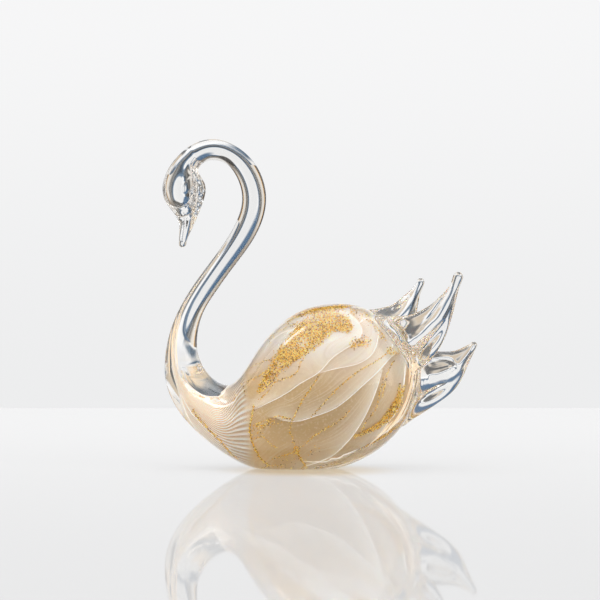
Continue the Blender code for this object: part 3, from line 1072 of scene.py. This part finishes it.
class Nodes:
    """Builds a shader's sums without naming every link."""

    def __init__(self, tree):
        self.tree = tree

    def new(self, kind, **settings):
        node = self.tree.nodes.new(kind)
        for name, value in settings.items():
            setattr(node, name, value)
        return node

    def feed(self, socket, value):
        if isinstance(value, bpy.types.NodeSocket):
            self.tree.links.new(value, socket)
        else:
            socket.default_value = value

    def fed(self, node, *values):
        """A node's outputs, once its inputs are fed in their order."""
        for socket, value in zip(node.inputs, values):
            self.feed(socket, value)
        return node.outputs

    def named(self, kind, **values):
        """A new node's first output, once the inputs named are fed."""
        node = self.new(kind)
        for socket, value in values.items():
            self.feed(node.inputs[socket], value)
        return node.outputs[0]

    def math(self, operation, *values):
        return self.fed(self.new("ShaderNodeMath", operation=operation), *values)[0]

    def vector(self, operation, *values):
        node = self.new("ShaderNodeVectorMath", operation=operation)
        return self.fed(node, *values)["Value"]

    def times(self, first, second):
        return self.math("MULTIPLY", first, second)

    def rest(self, share):
        return self.math("SUBTRACT", 1.0, share)

    def towards(self, way, aim, low, high):
        """1 near the way to an aim, 0 away from it."""
        aim = tuple(Vector(aim).normalized())
        return self.step(self.vector("DOT_PRODUCT", way, aim), low, high)

    def split(self, way):
        return self.fed(self.new("ShaderNodeSeparateXYZ"), way)

    def place(self):
        return self.new("ShaderNodeTexCoord").outputs["Object"]

    def layer(self, name):
        return self.new("ShaderNodeAttribute", attribute_name=name).outputs["Fac"]

    def noise(self, vector, scale, detail=2.0):
        return self.named("ShaderNodeTexNoise", Vector=vector, Scale=scale, Detail=detail)

    def mixed(self, share, first, second):
        return self.fed(self.new("ShaderNodeMixShader"), share, first, second)[0]

    def blend(self, share, first, second):
        node = self.new("ShaderNodeMix", data_type="RGBA")
        self.feed(node.inputs[0], share)
        self.feed(node.inputs[6], first)
        self.feed(node.inputs[7], second)
        return node.outputs[2]

    def step(self, value, low, high):
        node = self.new("ShaderNodeMapRange", interpolation_type="SMOOTHSTEP")
        self.feed(node.inputs["Value"], value)
        self.feed(node.inputs["From Min"], low)
        self.feed(node.inputs["From Max"], high)
        return node.outputs[0]

    def over(self, share, colour, tone):
        """A colour with a tone laid over it."""
        return self.blend(share, colour, (*tone, 1))

    def tint(self, mask, colour, tint):
        """A colour with a share of a tone laid over it where the mask is 1."""
        share, tone = tint
        return self.over(self.times(mask, share), colour, tone)

    def ramp(self, value, stops):
        """Colours that pass smoothly from one to the next as a value rises."""
        colour = (*stops[0][1], 1)
        for (low, _), (high, tone) in zip(stops, stops[1:]):
            colour = self.over(self.step(value, low, high), colour, tone)
        return colour

    def band(self, value, centre, half, soft):
        """1 within half of centre, falling to 0 over soft."""
        offset = self.math("ABSOLUTE", self.math("SUBTRACT", value, centre))
        return self.rest(self.step(offset, half, half + soft))


def principled(name, colour, roughness, **values):
    """A material of one Principled shader, with its nodes."""
    material = bpy.data.materials.new(name)
    material.use_nodes = True
    shader = material.node_tree.nodes["Principled BSDF"]
    shader.inputs["Base Color"].default_value = (*colour, 1.0)
    shader.inputs["Roughness"].default_value = roughness
    for socket, value in values.items():
        shader.inputs[socket.replace("_", " ")].default_value = value
    return material, shader, Nodes(material.node_tree)


def glass_material():
    """Clear glass, very slightly uneven from the flame."""
    material, shader, nodes = principled(
        "clear_glass", (1.0, 1.0, 1.0), 0.0, Transmission_Weight=1.0, IOR=GLASS_IOR,
    )
    strength, depth = GLASS_BUMP
    waves = nodes.noise(nodes.place(), GLASS_RIPPLES, 1.0)
    bump = nodes.named("ShaderNodeBump", Strength=strength, Distance=depth, Height=waves)
    nodes.feed(shader.inputs["Normal"], bump)
    return material


def veil_material():
    """Milky champagne glass, with painted light: paler high up, a deep tan pool low in its middle
    that is partly painted shade, painted shade under petals and between ribs, painted highlights on
    pearly crests, and a painted glow on the breast.
    """
    material, shader, nodes = principled(
        "champagne_veil", (0.8, 0.7, 0.6), 0.42, Specular_IOR_Level=0.2,
        Subsurface_Weight=0.6, Subsurface_Scale=0.006, Subsurface_Radius=(1.0, 0.8, 0.5),
    )
    place = nodes.place()
    x, _, z = nodes.split(place)
    layers = ("under", "rise", "ribs", "breast", "grain")
    under, rise, ribs, breast, grain = [nodes.layer(name) for name in layers]
    squares = []
    for value, (middle, reach) in ((x, POOL_ALONG), (z, POOL_UP)):
        apart = nodes.math("DIVIDE", nodes.math("SUBTRACT", value, middle), reach)
        squares.append(nodes.math("POWER", apart, 2.0))
    apart = nodes.math("SQRT", nodes.math("ADD", *squares))
    # Painted light: the veil paler high up, where light falls from above.
    colour = nodes.over(nodes.step(z, *VEIL_HEIGHTS), (*VEIL_LOW_PAINTED_SHADE, 1), VEIL_HIGH_PAINTED_LIGHT)
    # A deeper tan low in the middle, partly the veil's own colour and partly painted shade.
    colour = nodes.tint(nodes.rest(nodes.step(apart, *POOL_EDGE)), colour, POOL_TINT_AND_SHADE)
    fibre = [nodes.times(value, scale) for value, scale in zip((grain, x, z), SILK_SCALES)]
    silk = nodes.noise(nodes.fed(nodes.new("ShaderNodeCombineXYZ"), *fibre)[0], 1.0, 3.0)
    for edge, tint in SILK:
        colour = nodes.tint(nodes.step(silk, *edge), colour, tint)
    # Painted shade between the breast's ribs and under the petals' edges, painted highlights on
    # crests and ribs.
    between = nodes.times(breast, nodes.rest(nodes.step(ribs, *RIB_EDGE)))
    specks = nodes.step(nodes.noise(place, SPECKS), *SPECK_EDGE)
    for mask, tint in zip((breast, between, under, rise, ribs, specks), VEIL_TONES_AND_PAINTED_LIGHT):
        colour = nodes.tint(mask, colour, tint)
    nodes.feed(shader.inputs["Base Color"], colour)
    # Painted light: the breast glows in the veil's colour, fading towards the back.
    nodes.feed(shader.inputs["Emission Color"], colour)
    left = nodes.rest(nodes.step(x, *BREAST_PAINTED_GLOW_FADE))
    painted_glow = nodes.times(nodes.times(breast, left), BREAST_PAINTED_GLOW)
    nodes.feed(shader.inputs["Emission Strength"], painted_glow)
    return material


def clouded(name, base, roughness, scale, tones, **values):
    """A material whose colour drifts between two tones."""
    material, shader, nodes = principled(name, base, roughness, **values)
    low, high = tones
    colour = nodes.over(nodes.noise(nodes.place(), scale), (*low, 1), high)
    nodes.feed(shader.inputs["Base Color"], colour)
    return material


def thread_material():
    # The threads glow faintly, painted light that keeps them white under the dim front light.
    return clouded(
        "white_thread", (1.0, 0.98, 0.95), 0.3, 500.0, ((1.0, 0.93, 0.84), (1.0, 1.0, 1.0)),
        Specular_IOR_Level=0.3, Alpha=0.8,
        Emission_Color=(1.0, 0.96, 0.90, 1.0), Emission_Strength=0.36,
    )


def champagne_line_material():
    # The lines glow, painted light that keeps them bright in the clear glass.
    return clouded(
        "champagne_line", (0.9, 0.7, 0.45), 0.35, 160.0, ((0.88, 0.62, 0.34), (1.0, 0.93, 0.82)),
        Emission_Color=(1.0, 0.82, 0.56, 1.0), Emission_Strength=0.42,
    )


def gold_material():
    """Leaf from deep to pale gold, flake by flake, glowing faintly in its colour as painted light.
    """
    material, shader, nodes = principled(
        "gold_leaf", (0.9, 0.6, 0.2), 0.4, Metallic=0.15, Specular_IOR_Level=0.08,
        Emission_Strength=0.18,
    )
    shade = nodes.layer("shade")
    deep, middle, pale = GOLD_TONES
    first, second = GOLD_STEPS
    colour = nodes.blend(nodes.step(shade, *first), deep, middle)
    colour = nodes.over(nodes.step(shade, *second), colour, pale)
    nodes.feed(shader.inputs["Base Color"], colour)
    nodes.feed(shader.inputs["Emission Color"], colour)
    return material


def soft_box(nodes, way, aim, along, half):
    """1 in a soft-edged oblong of the sky."""
    aim = Vector(aim).normalized()
    aside = aim.cross(Vector(along)).normalized()
    share = nodes.step(nodes.vector("DOT_PRODUCT", way, tuple(aim)), *SOFT_BOX_SIDE)
    for axis, reach in zip((aside.cross(aim), aside), half):
        along_it = nodes.vector("DOT_PRODUCT", way, tuple(axis))
        share = nodes.times(share, nodes.band(along_it, 0.0, reach, SOFT_BOX_EDGE))
    return share


def through_glass(nodes):
    """1 for what is seen through clear glass, 0 for what lights matt surfaces or is mirrored."""
    path = nodes.new("ShaderNodeLightPath").outputs
    bent_once = nodes.math("GREATER_THAN", path["Transmission Depth"], 0.5)
    never_lit = nodes.math("LESS_THAN", path["Diffuse Depth"], 0.5)
    return nodes.times(bent_once, never_lit)


def sky_in_glass(nodes, way):
    """Rings round the bright backdrop: dark flags, pale gaps and a brown far edge."""
    x, y, z = nodes.split(way)
    away = nodes.math("DEGREES", nodes.math("ARCCOSINE", y))
    above = nodes.math("SINE", nodes.math("ARCTAN2", z, nodes.math("ABSOLUTE", x)))
    bend = nodes.math("SUBTRACT", away, nodes.times(above, SKY_LIFT))
    colour = nodes.ramp(bend, SKY_IN_GLASS)
    high = nodes.times(nodes.step(above, *SKY_ABOVE_SHARE), nodes.band(bend, *SKY_ABOVE_BAND))
    colour = nodes.over(high, colour, SKY_ABOVE)
    colour = nodes.over(nodes.step(z, *SKY_TOP_RISE), colour, SKY_TOP)
    dark = nodes.towards(way, DARK_FLAG, *DARK_FLAG_EDGE)
    blue = nodes.towards(way, BLUE_CARD, *BLUE_CARD_EDGE)
    return nodes.over(blue, nodes.over(dark, colour, DARK_FLAG_TONE), BLUE_CARD_TONE)


def studio_colour(nodes, way, rise):
    """Dark flags, white side panels, a dim camera side and a soft top."""
    x, y, _ = nodes.split(way)
    turn = nodes.math("DEGREES", nodes.math("ARCTAN2", x, nodes.math("ABSOLUTE", y)))
    side = nodes.math("ABSOLUTE", turn)
    camera_side = nodes.step(nodes.times(y, -1.0), *CAMERA_SIDE)
    panel = nodes.over(nodes.step(x, *PANEL_TURN), (*PANEL_LEFT, 1), PANEL_RIGHT)
    panel = nodes.blend(nodes.step(side, *PANEL_GAP_EDGE), (*PANEL_GAP, 1), panel)
    low = nodes.rest(nodes.step(rise, *STUDIO_LOW))
    below = nodes.rest(nodes.step(rise, *STUDIO_BELOW))
    colour = nodes.blend(low, (*STUDIO_UPPER, 1), nodes.ramp(side, STUDIO_FLAGS))
    colour = nodes.over(nodes.band(rise, *STUDIO_BAND), colour, STUDIO_BAND_TONE)
    colour = nodes.blend(below, colour, nodes.ramp(rise, STUDIO_FLOOR))
    colour = nodes.blend(camera_side, colour, panel)
    return nodes.over(nodes.step(rise, *STUDIO_TOP_RISE), colour, STUDIO_TOP)


def studio_world():
    """The studio, with another for what is seen in the glass and a plain one for the camera."""
    world = bpy.data.worlds.new("studio")
    world.use_nodes = True
    world.node_tree.nodes.clear()
    nodes = Nodes(world.node_tree)
    way = nodes.new("ShaderNodeTexCoord").outputs["Generated"]
    rise = nodes.math("DEGREES", nodes.math("ARCSINE", nodes.split(way)[2]))
    colour = studio_colour(nodes, way, rise)
    colour = nodes.blend(through_glass(nodes), colour, sky_in_glass(nodes, way))
    for aim, along, half, strength in SOFT_BOXES:
        colour = nodes.over(soft_box(nodes, way, aim, along, half), colour, [strength] * 3)
    light = nodes.named("ShaderNodeBackground", Color=colour)
    pale = nodes.blend(nodes.step(rise, *BACKDROP_RISE), *BACKDROP)
    backdrop = nodes.named("ShaderNodeBackground", Color=pale)
    by_camera = nodes.new("ShaderNodeLightPath").outputs["Is Camera Ray"]
    seen = nodes.mixed(by_camera, light, backdrop)
    nodes.feed(nodes.new("ShaderNodeOutputWorld").inputs["Surface"], seen)
    bpy.context.scene.world = world


def table_in_glass(nodes, place):
    """The tone painted on the table where it is seen through the glass, standing in for shade and
    light.
    """
    x, y, _ = nodes.split(place)
    away = nodes.vector("LENGTH", place)
    turn = nodes.math("DEGREES", nodes.math("ARCTAN2", nodes.math("ABSOLUTE", x), y))
    near_tone, far_tone = nodes.ramp(away, TABLE_IN_GLASS), nodes.ramp(turn, SKY_IN_GLASS)
    tone = nodes.blend(nodes.step(away, *TABLE_FAR), near_tone, far_tone)
    tone = nodes.over(nodes.band(away, *BLUE_EDGE), tone, BLUE_EDGE_TONE)
    for across, along, painted_patch_tone in PAINTED_TABLE_PATCHES:
        painted_patch = nodes.times(nodes.band(x, *across), nodes.band(y, *along))
        tone = nodes.over(painted_patch, tone, painted_patch_tone)
    return tone


def table_material():
    material = bpy.data.materials.new("pale_gloss")
    material.use_nodes = True
    material.node_tree.nodes.clear()
    nodes = Nodes(material.node_tree)
    place = nodes.place()
    # The table's tone, with painted shade making it darker towards the front.
    nearer = nodes.step(nodes.split(place)[1], *TABLE_FRONT)
    tone = nodes.over(nearer, (*TABLE_TONE, 1), TABLE_PAINTED_SHADE_FRONT)
    # Painted light: a warm spot where the glass would gather light on the table.
    painted_caustic = nodes.step(nodes.vector("DISTANCE", place, PAINTED_CAUSTIC_SPOT), *PAINTED_CAUSTIC_REACH)
    tone = nodes.over(painted_caustic, tone, PAINTED_CAUSTIC_TONE)
    matt = nodes.named("ShaderNodeBsdfDiffuse", Color=tone)
    # Painted light: the table glows in its tone, so the swan's shadow on it stays faint.
    painted_glow = nodes.named("ShaderNodeEmission", Color=tone, Strength=TABLE_PAINTED_GLOW)
    gloss = nodes.named(
        "ShaderNodeBsdfAnisotropic", Color=(1, 1, 1, 1), Roughness=TABLE_ROUGHNESS
    )
    top = nodes.mixed(TABLE_GLOSS, nodes.mixed(TABLE_PAINTED_GLOW_SHARE, matt, painted_glow), gloss)
    # Through the glass the table glows with painted tones in place of its lit look.
    in_glass = nodes.named("ShaderNodeEmission", Color=table_in_glass(nodes, place))
    seen = nodes.mixed(through_glass(nodes), top, in_glass)
    nodes.feed(nodes.new("ShaderNodeOutputMaterial").inputs["Surface"], seen)
    return material


def table():
    """The pale glossy table top that the swan stands on."""
    half, near, far = TABLE
    corners = [(-half, near, 0), (half, near, 0), (half, far, 0), (-half, far, 0)]
    mesh = bpy.data.meshes.new("table")
    mesh.from_pydata(corners, [], [(0, 1, 2, 3)])
    mesh.materials.append(table_material())
    top = shown(bpy.data.objects.new("table", mesh))
    top.location.z = TABLE_DROP


def camera():
    data = bpy.data.cameras.new("camera")
    data.sensor_width = CAMERA_SENSOR
    data.lens = CAMERA_LENS
    eye = shown(bpy.data.objects.new("camera", data))
    eye.location = CAMERA_PLACE
    eye.rotation_euler = (math.pi / 2, 0, 0)
    bpy.context.scene.camera = eye


def dress(obj, material):
    obj.data.materials.clear()
    obj.data.materials.append(material)
    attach(obj, "root")


camera()
studio_world()
table()
glass = clear_glass_swan()
dress(glass, glass_material())
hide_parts("glass_swan")
glass_tree = tree_of(glass)
veil = shown(veil_form(glass_tree))
dress(veil, veil_material())
veil_tree = tree_of(veil)
dress(white_threads(glass_tree, veil_tree), thread_material())
dress(champagne_lines(glass_tree), champagne_line_material())
dress(gold_leaf(glass_tree, veil_tree), gold_material())

scene = bpy.context.scene
scene.view_settings.view_transform = "Standard"
scene.cycles.max_bounces = 48
scene.cycles.transmission_bounces = 48
scene.cycles.glossy_bounces = 48
